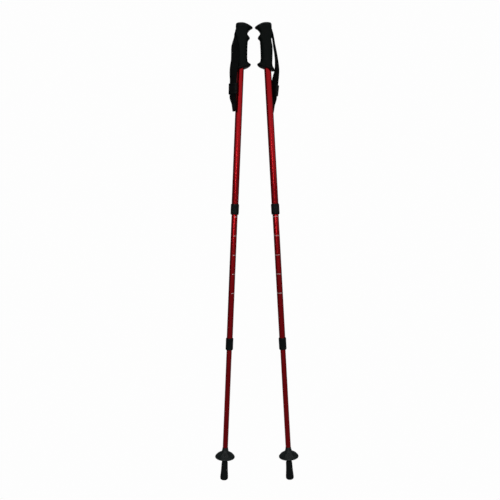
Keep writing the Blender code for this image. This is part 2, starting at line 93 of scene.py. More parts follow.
# ---------------------------------------------------------------- materials
class Shader:
    """A Principled material with a few helpers to add nodes to it."""

    def __init__(self, name, colour, roughness, metallic=0.0, **sockets):
        self.material = bpy.data.materials.new(name)
        self.material.use_nodes = True
        self.tree = self.material.node_tree
        self.bsdf = self.tree.nodes["Principled BSDF"]
        self.bsdf.inputs["Base Color"].default_value = (*colour, 1.0)
        self.bsdf.inputs["Roughness"].default_value = roughness
        self.bsdf.inputs["Metallic"].default_value = metallic
        for key, value in sockets.items():
            self.bsdf.inputs[key.replace("_", " ")].default_value = value
        self.place = self.node("ShaderNodeTexCoord").outputs["Object"]

    def node(self, kind, **settings):
        made = self.tree.nodes.new(kind)
        for key, value in settings.items():
            setattr(made, key, value)
        return made

    def link(self, a, b):
        self.tree.links.new(a, b)

    def stretched(self, x, y, z):
        mapping = self.node("ShaderNodeMapping")
        mapping.inputs["Scale"].default_value = (x, y, z)
        self.link(self.place, mapping.inputs["Vector"])
        return mapping.outputs["Vector"]

    def noise(self, where, scale, detail=3.0, rough=0.55):
        made = self.node("ShaderNodeTexNoise")
        made.inputs["Scale"].default_value = scale
        made.inputs["Detail"].default_value = detail
        made.inputs["Roughness"].default_value = rough
        self.link(where, made.inputs["Vector"])
        return made.outputs["Fac"]

    def cells(self, where, scale, feature="F1"):
        made = self.node("ShaderNodeTexVoronoi", feature=feature)
        made.inputs["Scale"].default_value = scale
        self.link(where, made.inputs["Vector"])
        return made.outputs["Distance"]

    def ramp(self, value, stops):
        made = self.node("ShaderNodeValToRGB")
        ramp = made.color_ramp
        while len(ramp.elements) < len(stops):
            ramp.elements.new(0.5)
        for element, (at, colour) in zip(ramp.elements, stops):
            element.position = at
            element.color = (*colour, 1.0) if len(colour) == 3 else colour
        self.link(value, made.inputs["Fac"])
        return made.outputs["Color"]

    def span(self, value, low, high, new_low, new_high):
        made = self.node("ShaderNodeMapRange")
        for key, number in (("From Min", low), ("From Max", high), ("To Min", new_low), ("To Max", new_high)):
            made.inputs[key].default_value = number
        self.link(value, made.inputs["Value"])
        return made.outputs["Result"]

    def math(self, operation, a, b=None):
        made = self.node("ShaderNodeMath", operation=operation)
        for socket, value in zip(made.inputs, (a, b)):
            if value is None:
                continue
            if isinstance(value, (int, float)):
                socket.default_value = value
            else:
                self.link(value, socket)
        return made.outputs["Value"]

    def mix(self, factor, a, b):
        made = self.node("ShaderNodeMix", data_type="RGBA")
        for socket, value in ((made.inputs[0], factor), (made.inputs[6], a), (made.inputs[7], b)):
            if isinstance(value, (int, float)):
                socket.default_value = value
            elif isinstance(value, tuple):
                socket.default_value = (*value, 1.0)
            else:
                self.link(value, socket)
        return made.outputs[2]

    def bump(self, height, distance, strength=1.0, under=None):
        made = self.node("ShaderNodeBump")
        made.inputs["Distance"].default_value = distance
        made.inputs["Strength"].default_value = strength
        self.link(height, made.inputs["Height"])
        if under is not None:
            self.link(under, made.inputs["Normal"])
        return made.outputs["Normal"]

    def set(self, socket, value):
        self.link(value, self.bsdf.inputs[socket])


def anodised():
    s = Shader("red_anodised_tube", (0.40, 0.0020, 0.0055), 0.24, 0.90, Coat_Weight=0.13, Coat_Roughness=0.10)
    slow = s.noise(s.stretched(30, 30, 5), 1.0, 3.0)
    drawn = s.noise(s.stretched(700, 700, 9), 1.0, 3.0, 0.6)
    scuff = s.noise(s.stretched(120, 120, 320), 1.0, 5.0, 0.7)
    worn = s.ramp(scuff, [(0.70, (0, 0, 0)), (0.78, (1, 1, 1))])
    base = s.ramp(slow, [(0.30, (0.350, 0.0014, 0.0045)), (0.70, (0.450, 0.0024, 0.0070))])
    s.set("Base Color", s.mix(s.math("MULTIPLY", worn, 0.25), base, (0.44, 0.05, 0.05)))
    s.set("Roughness", s.math("ADD", s.span(drawn, 0.3, 0.7, 0.19, 0.27), s.math("MULTIPLY", worn, 0.10)))
    s.set("Normal", s.bump(drawn, 0.0000015, 0.5))
    return s.material


def moulded(name, colour, roughness, grain, depth, gloss=0.5, pit=0.0):
    """Moulded plastic or rubber: a fine spark-eroded grain, slight flow marks and rubbed high spots."""
    s = Shader(name, colour, roughness, Specular_IOR_Level=gloss)
    fine = s.noise(s.place, grain, 4.0, 0.6)
    leather = s.cells(s.place, grain * 0.55)
    flow = s.noise(s.place, 45, 4.0, 0.6)
    dust = s.ramp(s.noise(s.place, 260, 5.0, 0.7), [(0.62, (0, 0, 0)), (0.75, (1, 1, 1))])
    dark = tuple(c * 0.75 for c in colour)
    light = tuple(c * 1.35 for c in colour)
    base = s.ramp(flow, [(0.30, dark), (0.70, light)])
    s.set("Base Color", s.mix(s.math("MULTIPLY", dust, 0.16), base, tuple(c * 2.6 + 0.0012 for c in colour)))
    s.set("Roughness", s.math("ADD", s.span(flow, 0.3, 0.7, roughness - 0.05, roughness + 0.05),
                              s.math("MULTIPLY", dust, 0.08)))
    height = s.math("ADD", fine, s.math("MULTIPLY", leather, 0.6 + pit))
    s.set("Normal", s.bump(height, depth, 0.9))
    return s.material


def woven():
    """Flat polyester webbing: ribs across, a herringbone of warp yarns along, and a tight selvedge."""
    s = Shader("black_webbing", (0.0016, 0.0019, 0.0019), 0.80, Specular_IOR_Level=0.10,
               Sheen_Weight=0.015, Sheen_Roughness=0.5)
    lay = s.node("ShaderNodeAttribute", attribute_name="lay")
    parts = s.node("ShaderNodeSeparateXYZ")
    s.link(lay.outputs["Vector"], parts.inputs["Vector"])
    across, along = parts.outputs["X"], parts.outputs["Y"]
    # the yarns slant one way on one half of the web and the other way on the other half
    slant = s.math("ABSOLUTE", across)
    turn = 2 * math.pi
    rib = s.math("SINE", s.math("MULTIPLY", s.math("ADD", along, s.math("MULTIPLY", slant, 0.8)), turn / 0.00125))
    yarn = s.math("SINE", s.math("MULTIPLY", across, turn / 0.00083))
    weave = s.math("ADD", s.math("MULTIPLY", rib, 0.5), s.math("MULTIPLY", s.math("MULTIPLY", yarn, rib), 0.4))
    fuzz = s.noise(s.place, 3200, 3.0, 0.7)
    slow = s.noise(s.place, 70, 3.0, 0.6)
    height = s.math("ADD", weave, s.math("MULTIPLY", fuzz, 0.7))
    # painted shade: the base colour follows the weave's height, so the grooves between the ribs are darker and the rib
    # tops lighter, with a slow random tone added on top
    groove_shade_and_tone = s.math("ADD", s.span(weave, -0.9, 0.9, 0.15, 0.75), s.span(slow, 0.3, 0.7, -0.15, 0.20))
    s.set("Base Color", s.ramp(groove_shade_and_tone, [(0.10, (0.0007, 0.0009, 0.0009)), (0.90, (0.0042, 0.0050, 0.0050))]))
    s.set("Roughness", s.span(weave, -0.9, 0.9, 0.86, 0.70))
    s.set("Normal", s.bump(height, 0.00012, 0.8))
    return s.material


def thread():
    s = Shader("stitching_thread", (0.018, 0.020, 0.020), 0.6)
    twist = s.noise(s.stretched(1, 1, 1), 5200, 2.0)
    s.set("Base Color", s.ramp(twist, [(0.3, (0.005, 0.0055, 0.0055)), (0.7, (0.013, 0.0145, 0.0145))]))
    s.set("Normal", s.bump(twist, 0.00008, 0.8))
    return s.material


def print_ink():
    s = Shader("white_print", (0.90, 0.78, 0.78), 0.5)
    patchy = s.noise(s.place, 1900, 4.0, 0.7)
    s.set("Base Color", s.ramp(patchy, [(0.25, (0.82, 0.60, 0.60)), (0.50, (0.93, 0.86, 0.86))]))
    s.set("Roughness", s.span(patchy, 0.2, 0.8, 0.42, 0.60))
    return s.material


def nylon():
    s = Shader("lock_nylon", (0.55, 0.55, 0.52), 0.45, Subsurface_Weight=0.05)
    slow = s.noise(s.place, 160, 4.0)
    s.set("Base Color", s.ramp(slow, [(0.3, (0.50, 0.50, 0.46)), (0.7, (0.60, 0.60, 0.57))]))
    s.set("Roughness", s.span(slow, 0.3, 0.7, 0.38, 0.55))
    s.set("Normal", s.bump(s.noise(s.place, 2500, 3.0), 0.00003, 0.6))
    return s.material


def metal(name, colour, roughness, lines):
    s = Shader(name, colour, roughness, 1.0)
    turned = s.noise(s.stretched(60, 60, lines), 1.0, 3.0, 0.6)
    spots = s.noise(s.place, 700, 5.0, 0.7)
    s.set("Base Color", s.ramp(spots, [(0.35, tuple(c * 0.72 for c in colour)), (0.60, colour)]))
    s.set("Roughness", s.span(turned, 0.3, 0.7, roughness - 0.07, roughness + 0.10))
    s.set("Normal", s.bump(turned, 0.00002, 0.6))
    return s.material


RED = anodised()
GRIP = moulded("grip_rubber", (0.0011, 0.0031, 0.0025), 0.50, 1500, 0.00006, 0.11, 0.2)
CAP = moulded("cap_plastic", (0.0011, 0.0030, 0.0026), 0.40, 2100, 0.00003, 0.14)
COLLAR = moulded("collar_plastic", (0.0012, 0.0030, 0.0030), 0.38, 2300, 0.00003, 0.18)
KEEPER = moulded("keeper_plastic", (0.0016, 0.0022, 0.0022), 0.44, 2300, 0.00003, 0.16)
BASKET = moulded("basket_plastic", (0.0065, 0.0115, 0.0110), 0.42, 1900, 0.00004, 0.40)
FERRULE = moulded("ferrule_plastic", (0.0020, 0.0042, 0.0042), 0.44, 2200, 0.00003, 0.24)
RUBBER = moulded("foot_rubber", (0.0022, 0.0048, 0.0047), 0.62, 1300, 0.00007, 0.24, 0.4)
WEB = woven()
THREAD = thread()
INK = print_ink()
NYLON = nylon()
STEEL = metal("steel_pin", (0.56, 0.56, 0.57), 0.30, 2600)
CARBIDE = metal("tip_carbide", (0.27, 0.27, 0.28), 0.38, 3400)


# ---------------------------------------------------------------- mesh helpers
def finished(bm, name, material, sharp=38.0):
    bmesh.ops.recalc_face_normals(bm, faces=bm.faces)
    for f in bm.faces:
        f.smooth = True
    mesh = bpy.data.meshes.new(name)
    bm.to_mesh(mesh)
    bm.free()
    mesh.materials.append(material)
    mesh.set_sharp_from_angle(angle=math.radians(sharp))
    return mesh


def rounded(points, fillet=0.0003, steps=4, closed=True):
    """The outline of (radius, station[, fillet]) points with its corners rounded."""
    out = []
    count = len(points)
    for i, p in enumerate(points):
        size = p[2] if len(p) > 2 else fillet
        here = Vector(p[:2])
        if size <= 0 or here.x < 1e-7 or (not closed and i in (0, count - 1)):
            out.append((here.x, here.y))
            continue
        a = Vector(points[i - 1][:2]) - here
        b = Vector(points[(i + 1) % count][:2]) - here
        d = min(size, a.length * 0.45, b.length * 0.45)
        start, end = here + a.normalized() * d, here + b.normalized() * d
        for k in range(steps + 1):
            t = k / steps
            q = start * (1 - t) ** 2 + here * (2 * t * (1 - t)) + end * t * t
            out.append((q.x, q.y))
    return out


def spline(points, steps=6):
    """A smooth curve through the points, any number of columns."""
    out = []
    last = len(points) - 1
    for i in range(last):
        p = [points[max(i - 1, 0)], points[i], points[i + 1], points[min(i + 2, last)]]
        for k in range(steps):
            t = k / steps
            out.append(tuple(
                0.5 * (2 * b + (c - a) * t + (2 * a - 5 * b + 4 * c - d) * t * t + (3 * b - a - 3 * c + d) * t ** 3)
                for a, b, c, d in zip(*p)
            ))
    out.append(tuple(points[-1]))
    return out


def lathe(name, profile, material, segments=72, closed=True, carve=None, sharp=38.0):
    """A turned mesh. carve(r, z, angle) may return a changed (r, z) for each point."""
    bm = bmesh.new()
    rings = []
    for r, z in profile:
        if r < 1e-7:
            rings.append([bm.verts.new((0.0, 0.0, z))])
            continue
        ring = []
        for k in range(segments):
            a = 2 * math.pi * k / segments
            rr, zz = carve(r, z, a) if carve else (r, z)
            ring.append(bm.verts.new((rr * math.cos(a), rr * math.sin(a), zz)))
        rings.append(ring)
    pairs = list(zip(rings, rings[1:]))
    if closed:
        pairs.append((rings[-1], rings[0]))
    for a, b in pairs:
        if len(a) == 1 and len(b) == 1:
            continue
        for k in range(segments):
            j = (k + 1) % segments
            if len(a) == 1:
                bm.faces.new((a[0], b[k], b[j]))
            elif len(b) == 1:
                bm.faces.new((a[k], a[j], b[0]))
            else:
                bm.faces.new((a[k], a[j], b[j], b[k]))
    return finished(bm, name, material, sharp)


def place(name, mesh, side, body, slot, *nodes):
    """A piece in its pole's frame, riding on its body and standing for its CAD nodes."""
    obj = bpy.data.objects.new(side + "_" + name, mesh)
    bpy.context.scene.collection.objects.link(obj)
    obj.matrix_world = pole_matrix(side)
    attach(obj, side + "_" + body)
    if nodes:
        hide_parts(*[side + "_" + n for n in nodes])
    return obj


def smooth_step(x, low, high):
    t = min(max((x - low) / (high - low), 0.0), 1.0)
    return t * t * (3 - 2 * t)


# ---------------------------------------------------------------- turned pieces
def tube_mesh(name, r_out, r_in, z):
    low, high = z
    return lathe(name, rounded([(r_out, high, 0.0002), (r_out, low, 0.0002), (r_in, low, 0.0002), (r_in, high, 0.0002)]),
                 RED, 96)


def foot_mesh():
    outer = spline([(0.0076, 0.0476), (0.0083, 0.0447), (0.0086, 0.0365), (0.0090, 0.0275), (0.0096, 0.0185),
                    (0.0103, 0.0105), (0.0106, 0.0070), (0.0105, 0.0040)], 5)
    profile = rounded([(0.0052, 0.0495), (0.0062, 0.0495)]) + outer + rounded([
        (0.0103, 0.0018, 0.0010), (0.0088, 0.0, 0.0004), (0.0076, 0.0), (0.0074, 0.0009), (0.0062, 0.0009),
        (0.0060, 0.0), (0.0046, 0.0), (0.0044, 0.0009), (0.0032, 0.0009), (0.0030, 0.0)], 0.00015, 2, closed=False) + [
        (0.0, 0.0), (0.0, 0.0112), (0.0030, 0.0112), (0.0030, 0.0233), (0.0046, 0.0235)]

    def carve(r, z, a):
        # a moulded band of shallow lugs round the lower edge
        band = smooth_step(z, 0.0026, 0.0042) * (1 - smooth_step(z, 0.0100, 0.0125))
        if r > 0.0095:
            r -= 0.00035 * band * smooth_step(0.5 + 0.5 * math.cos(18 * a), 0.55, 0.9)
        return r, z

    return lathe("rubber_foot", profile, RUBBER, 108, carve=carve)


def basket_mesh():
    top = spline([(0.0093, 0.0774), (0.0108, 0.0748), (0.0150, 0.0720), (0.0205, 0.0684), (0.0250, 0.0642),
                  (0.0263, 0.0620)], 6)
    under = spline([(0.0243, 0.0612), (0.0190, 0.0654), (0.0090, 0.0688)], 6)
    neck = rounded([(0.0061, 0.0870), (0.0072, 0.0870, 0.0005), (0.00765, 0.0850), (0.00745, 0.0845),
                    (0.0080, 0.0825), (0.0078, 0.0820), (0.0085, 0.0800), (0.0083, 0.0795)], 0.00015, 2, closed=False)
    foot = rounded([(0.0085, 0.0610, 0.0003), (0.0080, 0.0550, 0.0004), (0.0061, 0.0550, 0.0002)], 0.0003, 3, closed=False)
    profile = neck + top + rounded([(0.0262, 0.0607, 0.0004), (0.0256, 0.0601, 0.0003), (0.0249, 0.0605, 0.0003)],
                                   0.0003, 3, closed=False) + under + foot

    def carve(r, z, a):
        # twelve low ribs run out over the dome, and the rim stays plain
        out = smooth_step(r, 0.0112, 0.0135) * (1 - smooth_step(r, 0.0225, 0.0243))
        above = z > 0.0670 - (r - 0.0190) * 0.75 if r > 0.011 else False
        if above and out > 0:
            z += 0.00055 * out * smooth_step(math.cos(12 * a), 0.72, 0.96)
        return r, z

    return lathe("basket", profile, BASKET, 144, carve=carve)


def collar_mesh(name, z, r_big, r_tube, r_low, lip, flutes):
    low, high = z
    a, b = low + 0.0058, high - 0.0048
    wall = [(r_big, high - 0.0018), (r_big, b + 0.0012), (r_big, b), (r_big, b - 0.0008)]
    count = 5
    wall += [(r_big, b - 0.0008 + (a + 0.0008 - b + 0.0008) * k / count) for k in range(1, count)]
    wall += [(r_big, a + 0.0008), (r_big, a), (r_big, a - 0.0012), (r_big, low + 0.0022)]
    groove = [(r_big, low + 0.0046), (r_big - 0.00035, low + 0.0043), (r_big - 0.00035, low + 0.0037), (r_big, low + 0.0034)]
    profile = rounded([(r_tube, high, 0.0002), (r_big - 0.0012, high, 0.0004)], closed=False)
    profile = [(r_tube, high - 0.0002), (r_tube + 0.0002, high), (r_big - 0.0015, high), (r_big - 0.0011, high - 0.0001),
               (r_big - 0.0004, high - 0.0009), (r_big - 0.0001, high - 0.0014)]
    profile += wall[:-1] + groove
    profile += [(r_big, low + 0.0022), (r_big - 0.0003, low + 0.0015), (r_big - 0.0010, low + 0.0003),
                (r_big - 0.0014, low), (r_low + 0.0002, low), (r_low, low + 0.0002),
                (r_low, low + lip), (r_tube, low + lip)]

    def carve(r, zz, angle):
        inside = smooth_step(zz, a - 0.0002, a + 0.0010) * (1 - smooth_step(zz, b - 0.0010, b + 0.0002))
        if r > r_big - 0.0001 and inside > 0:
            r -= 0.00042 * inside * (0.5 + 0.5 * math.cos(flutes * angle)) ** 1.5
        return r, zz

    return lathe(name, profile, COLLAR, flutes * 6, carve=carve, sharp=50)


def ferrule_mesh():
    return lathe("tip_shaft", rounded([
        (0.0, 0.1070), (0.0056, 0.1070), (0.0060, 0.1060), (0.0060, 0.0874), (0.0056, 0.0868),
        (0.0056, 0.0560), (0.00545, 0.0545), (0.0048, 0.0505), (0.0046, 0.0440), (0.00425, 0.0434),
        (0.0042, 0.0300), (0.0040, 0.0240), (0.0022, 0.0240), (0.0022, 0.0335), (0.0, 0.0335),
    ], 0.0003, 3), FERRULE, 72)


def tip_mesh():
    return lathe("metal_tip", rounded([
        (0.0, 0.0330), (0.0019, 0.0328), (0.0019, 0.0234, 0.0001), (0.0025, 0.0232), (0.0025, 0.0150),
        (0.0013, 0.0119, 0.0001), (0.0008, 0.0120, 0.0001), (0.0, 0.0127),
    ], 0.0002, 3), CARBIDE, 48)


def lock_meshes(prefix, z, r_out, r_in, r_screw):
    """The twist lock's four pieces. They stay inside the tubes."""
    plug = lathe(prefix + "plug", rounded([
        (r_screw + GAP, z + 0.0028), (r_out, z + 0.0028), (r_out, z + GAP), (r_in - GAP, z + GAP),
        (r_in - GAP, z - 0.0205), (r_in - 0.0012, z - 0.0220), (0.0, z - 0.0220), (0.0, z - 0.0145),
        (r_screw + GAP, z - 0.0145)], 0.0002, 2), NYLON, 48)
    thread_line = []
    turns = 36
    for k in range(turns * 2):
        thread_line.append((r_screw - (0.00035 if k % 2 else 0.0), z + 0.0435 - 0.0565 * k / (turns * 2)))
    spindle = lathe(prefix + "spindle", [
        (0.0, z + 0.0470), (r_screw + 0.0009, z + 0.0470), (r_screw + 0.0014, z + 0.0465),
        (r_screw + 0.0014, z + 0.0445), (r_screw, z + 0.0445)] + thread_line + [
        (r_screw - 0.0004, z - 0.0135), (0.0, z - 0.0140)], STEEL, 36, sharp=25)
    nut = lathe(prefix + "cone_nut", rounded([
        (r_screw + GAP, z + 0.0405), (r_out - 0.00105, z + 0.0405), (r_out - 0.00105, z + 0.0375),
        (r_out - 0.00320, z + 0.0160), (r_screw + GAP, z + 0.0160)], 0.0002, 2), NYLON, 48)
    # the sleeve is open along one side, so that the cone can spread it
    outline = rounded([
        (r_out - 0.0006, z + 0.0375), (r_out, z + 0.0365), (r_out, z + 0.0055), (r_out - 0.0006, z + 0.0045),
        (r_screw + 0.0006, z + 0.0045), (r_screw + 0.0006, z + 0.0130), (r_out - 0.00300, z + 0.0130),
        (r_out - 0.00065, z + 0.0375)], 0.0001, 2)
    bm = bmesh.new()
    rings = []
    for k in range(61):
        a = 0.10 + (2 * math.pi - 0.20) * k / 60
        rings.append([bm.verts.new((r * math.cos(a), r * math.sin(a), h)) for r, h in outline])
    count = len(outline)
    for a, b in zip(rings, rings[1:]):
        for k in range(count):
            j = (k + 1) % count
            bm.faces.new((a[k], a[j], b[j], b[k]))
    bm.faces.new(rings[0])
    bm.faces.new(list(reversed(rings[-1])))
    sleeve = finished(bm, prefix + "expander", NYLON)
    return plug, spindle, nut, sleeve


# ---------------------------------------------------------------- the grip
GRIP_SECTIONS = [
    (1.0835, 0.34, 0.0222, 0.0166, 0.0132, 2.3),
    (1.0848, 0.34, 0.0246, 0.0178, 0.0146, 2.3),
    (1.0868, 0.34, 0.0262, 0.0180, 0.0150, 2.3),
    (1.0895, 0.33, 0.0260, 0.0170, 0.0149, 2.3),
    (1.0930, 0.31, 0.0226, 0.0143, 0.0142, 2.3),
    (1.0975, 0.27, 0.0191, 0.0130, 0.0138, 2.3),
    (1.1035, 0.20, 0.0174, 0.0131, 0.0139, 2.3),
    (1.1130, 0.11, 0.0166, 0.0141, 0.0143, 2.3),
    (1.1260, 0.04, 0.0162, 0.0151, 0.0147, 2.3),
    (1.1410, 0.0, 0.0160, 0.0158, 0.0147, 2.5),
    (1.1500, 0.0, 0.0161, 0.0162, 0.0146, 2.7),
    (1.1560, 0.0, 0.0165, 0.0160, 0.0145, 2.7),
    (1.1595, 0.0, 0.0184, 0.0162, 0.0144, 2.9),
    (1.1625, 0.0, 0.0210, 0.0163, 0.0143, 3.0),
    (1.1655, 0.0, 0.0193, 0.0171, 0.0142, 3.8),
    (1.1695, 0.0, 0.0156, 0.0180, 0.0142, 4.4),
    (1.1735, 0.0, 0.0142, 0.0184, 0.0142, 4.6),
    (1.1778, 0.0, 0.0151, 0.0182, 0.0142, 4.4),
    (1.1820, 0.0, 0.0178, 0.0174, 0.0142, 3.6),
    (1.1855, 0.0, 0.0214, 0.0162, 0.0142, 3.0),
    (CAP_Z, 0.0, 0.0256, 0.0163, 0.0142, 3.0),
]
CAP_SECTIONS = [
    (CAP_Z + GAP, 0.0, 0.0266, 0.0163, 0.0142, 3.0),
    (1.1898, 0.0, 0.0271, 0.0163, 0.0142, 3.0),
    (1.1917, 0.0, 0.0250, 0.0163, 0.0140, 2.9),
    (1.1942, 0.0, 0.0208, 0.0163, 0.0135, 2.8),
    (1.1968, 0.0, 0.0157, 0.0159, 0.0124, 2.7),
    (1.1988, 0.0, 0.0108, 0.0143, 0.0104, 2.5),
    (1.2002, 0.0, 0.0064, 0.0108, 0.0073, 2.3),
    (1.2010, 0.0, 0.0026, 0.0060, 0.0036, 2.2),
]


def section(row, sides):
    z, slope, front, back, half, power = row
    points = []
    for i in range(sides):
        # a finer step where the outline turns quickly
        a = 2 * math.pi * i / sides
        a += 0.12 * math.sin(4 * a)
        c, s = math.cos(a), math.sin(a)
        x = math.copysign(abs(c) ** (2 / power), c) * (front if c > 0 else back)
        y = math.copysign(abs(s) ** (2 / power), s) * half
        points.append((x, y, z + slope * x))
    return points


def loft(name, rows, material, top=None, sides=96, groove=None):
    bm = bmesh.new()
    rings = []
    for row in rows:
        ring = []
        for p in section(row, sides):
            if groove:
                k = groove(*p)
                p = (p[0] * k, p[1] * k, p[2])
            ring.append(bm.verts.new(p))
        rings.append(ring)
    for lower, upper in zip(rings, rings[1:]):
        for i in range(sides):
            j = (i + 1) % sides
            bm.faces.new((lower[i], lower[j], upper[j], upper[i]))
    bm.faces.new(list(reversed(rings[0])))
    if top is None:
        bm.faces.new(rings[-1])
    else:
        peak = bm.verts.new(top)
        for i in range(sides):
            bm.faces.new((rings[-1][i], rings[-1][(i + 1) % sides], peak))
    return finished(bm, name, material)


def boolean(mesh, cutters, operation="DIFFERENCE"):
    """The mesh after each cutter, in order."""
    target = bpy.data.objects.new("target", mesh)
    bpy.context.scene.collection.objects.link(target)
    helpers = []
    for cutter in cutters:
        helper = bpy.data.objects.new("cutter", cutter)
        bpy.context.scene.collection.objects.link(helper)
        helpers.append(helper)
        m = target.modifiers.new("cut", "BOOLEAN")
        m.operation = operation
        m.solver = "EXACT"
        m.object = helper
    graph = bpy.context.evaluated_depsgraph_get()
    made = bpy.data.meshes.new_from_object(target.evaluated_get(graph))
    made.name = mesh.name
    for o in helpers + [target]:
        bpy.data.objects.remove(o, do_unlink=True)
    return made


def prism(outline, half, soft=0.0012):
    """An XZ outline with rounded corners, thickened along Y."""
    points = rounded([(x, z, soft) if i not in () else (x, z) for i, (x, z) in enumerate(
        [(x + 1.0, z) for x, z in outline])], soft, 3)
    bm = bmesh.new()
    sides = []
    for y in (-half, half):
        sides.append([bm.verts.new((x - 1.0, y, z)) for x, z in points])
    count = len(points)
    for k in range(count):
        j = (k + 1) % count
        bm.faces.new((sides[0][k], sides[0][j], sides[1][j], sides[1][k]))
    bm.faces.new(list(reversed(sides[0])))
    bm.faces.new(sides[1])
    return finished(bm, "prism", GRIP)


def rod(radius, low, high, segments, matrix=None, radius2=None):
    bm = bmesh.new()
    bmesh.ops.create_cone(bm, cap_ends=True, segments=segments, radius1=radius, radius2=radius2 or radius,
                          depth=high - low, matrix=(matrix or Matrix.Identity(4)) @ Matrix.Translation((0, 0, (low + high) / 2)))
    return finished(bm, "rod", GRIP)


def grip_mesh():
    def groove(x, y, z):
        # shallow finger lines across the front of the hand grip
        k = 1.0
        if x > 0.004 and 1.104 < z < 1.152:
            line = math.cos(2 * math.pi * (z - 1.104) / 0.0080)
            reach = smooth_step(x, 0.004, 0.009) * smooth_step(z, 1.106, 1.111) * (1 - smooth_step(z, 1.145, 1.150))
            k -= 0.030 * reach * smooth_step(line, 0.55, 0.95)
        return k

    rows = spline(GRIP_SECTIONS, 8)
    body = loft("grip", rows, GRIP, groove=groove)
    cutters = [
        rod(R_UPPER + GAP, 1.05, 1.1575, 96),
        prism([(-0.0058, CAP_Z - 0.0012), (-0.0300, CAP_Z - 0.0012), (-0.0300, 1.1300), (-0.0166, 1.1350),
               (-0.0128, 1.1530), (-0.0058, 1.1730)], SLOT_HALF),
        rod(0.0046, 1.1790, 1.2000, 48, Matrix.Translation((0.0040, 0, 0))),
        rod(PIN_R + GAP, -PIN_HALF - GAP, PIN_HALF + GAP, 32,
            Matrix.Translation((PIN_X, 0, PIN_Z)) @ Matrix.Rotation(math.pi / 2, 4, "X")),
    ]
    made = boolean(body, cutters)
    made.set_sharp_from_angle(angle=math.radians(32))
    return made


def cap_mesh():
    first = list(CAP_SECTIONS[0])
    soft = (first[0], 0.0, first[2] - 0.0004, first[3] - 0.0003, first[4] - 0.0003, first[5])
    rows = [soft] + spline([(first[0] + 0.0002, *first[1:])] + CAP_SECTIONS[1:], 6)
    dome = loft("grip_cap", rows, CAP, top=(-0.0015, 0.0, 1.2013))
    return boolean(dome, [rod(0.0038, 1.1795, 1.1905, 48, Matrix.Translation((0.0040, 0, 0)), 0.0042)], "UNION")


# ---------------------------------------------------------------- the strap
STRAP_ROUTE = {
    "left": [
        (PIN_X, 0.0, PIN_Z, 0.0, 0.0033),
        (-0.0146, -0.0001, 1.1722, 0.0, 0.0027),
        (-0.0172, -0.0002, 1.1645, 0.0, 0.0014),
        (-0.0190, -0.0045, 1.1550, 15.0, 0.00125),
        (-0.0172, -0.0130, 1.1430, 42.0, 0.00125),
        (-0.0156, -0.0162, 1.1310, 66.0, 0.0012),
        (-0.0146, -0.0180, 1.1170, 84.0, 0.0012),
        (-0.0146, -0.0182, 1.1000, 90.0, 0.0012),
        (-0.0163, -0.0183, 1.0850, 84.0, 0.0012),
        (-0.0170, -0.0178, 1.0740, 75.0, 0.0012),
        (-0.0171, -0.0163, 1.0645, 64.0, 0.0012),
        (-0.0170, -0.0142, 1.0540, 55.0, 0.00108),
        (-0.0168, -0.0128, 1.0300, 52.0, 0.00105),
        (-0.0160, -0.0120, 1.0090, 50.0, 0.00105),
        (-0.0130, -0.0098, 0.9950, 32.0, 0.00105),
        (-0.0119, -0.0070, 0.9750, 14.0, 0.00105),
    ],
    "right": [
        (PIN_X, 0.0, PIN_Z, 0.0, 0.0033),
        (-0.0148, 0.0, 1.1722, 0.0, 0.0027),
        (-0.0175, 0.0, 1.1640, 0.0, 0.0014),
        (-0.0189, 0.0, 1.1530, 1.0, 0.00125),
        (-0.0201, 0.0, 1.1410, 2.0, 0.0013),
        (-0.0221, -0.0003, 1.1260, 5.0, 0.0012),
        (-0.0235, -0.0010, 1.1110, 9.0, 0.0012),
        (-0.0241, -0.0022, 1.0950, 16.0, 0.0013),
        (-0.0237, -0.0042, 1.0800, 26.0, 0.0013),
        (-0.0210, -0.0080, 1.0670, 40.0, 0.0012),
        (-0.0182, -0.0119, 1.0550, 50.0, 0.00108),
        (-0.0168, -0.0138, 1.0420, 52.0, 0.00105),
        (-0.0151, -0.0143, 1.0260, 54.0, 0.00105),
        (-0.0108, -0.0150, 1.0090, 56.0, 0.00105),
        (-0.0052, -0.0154, 0.9955, 62.0, 0.00105),
        (-0.0008, -0.0150, 0.9760, 68.0, 0.00105),
    ],
}


def even_route(rows, count):
    """Evenly spaced rows of the smooth curve through the route's rows."""
    dense = spline(rows, 24)
    lengths = [0.0]
    for a, b in zip(dense, dense[1:]):
        lengths.append(lengths[-1] + (Vector(b[:3]) - Vector(a[:3])).length)
    out = []
    j = 0
    for k in range(count + 1):
        want = lengths[-1] * k / count
        while j < len(dense) - 2 and lengths[j + 1] < want:
            j += 1
        f = (want - lengths[j]) / (lengths[j + 1] - lengths[j])
        out.append(tuple(a + (b - a) * f for a, b in zip(dense[j], dense[j + 1])))
    return out


def strap_route(side):
    route = even_route(STRAP_ROUTE[side], STRAP_STEPS)
    low = KEEPER_Z[0] - KEEPER_SLIDE - 0.0008
    high = KEEPER_Z[1] + KEEPER_SLIDE + 0.0012
    inside = [i for i, row in enumerate(route) if low <= row[2] <= high]
    a, b = inside[0] - 1, inside[-1] + 1
    start, end = Vector(route[a][:3]), Vector(route[b][:3])
    twist = (route[a][3] + route[b][3]) / 2
    for i in range(a, b + 1):
        route[i] = (*start.lerp(end, (i - a) / (b - a)), twist, 0.00105)
    return route, (start, end, twist)


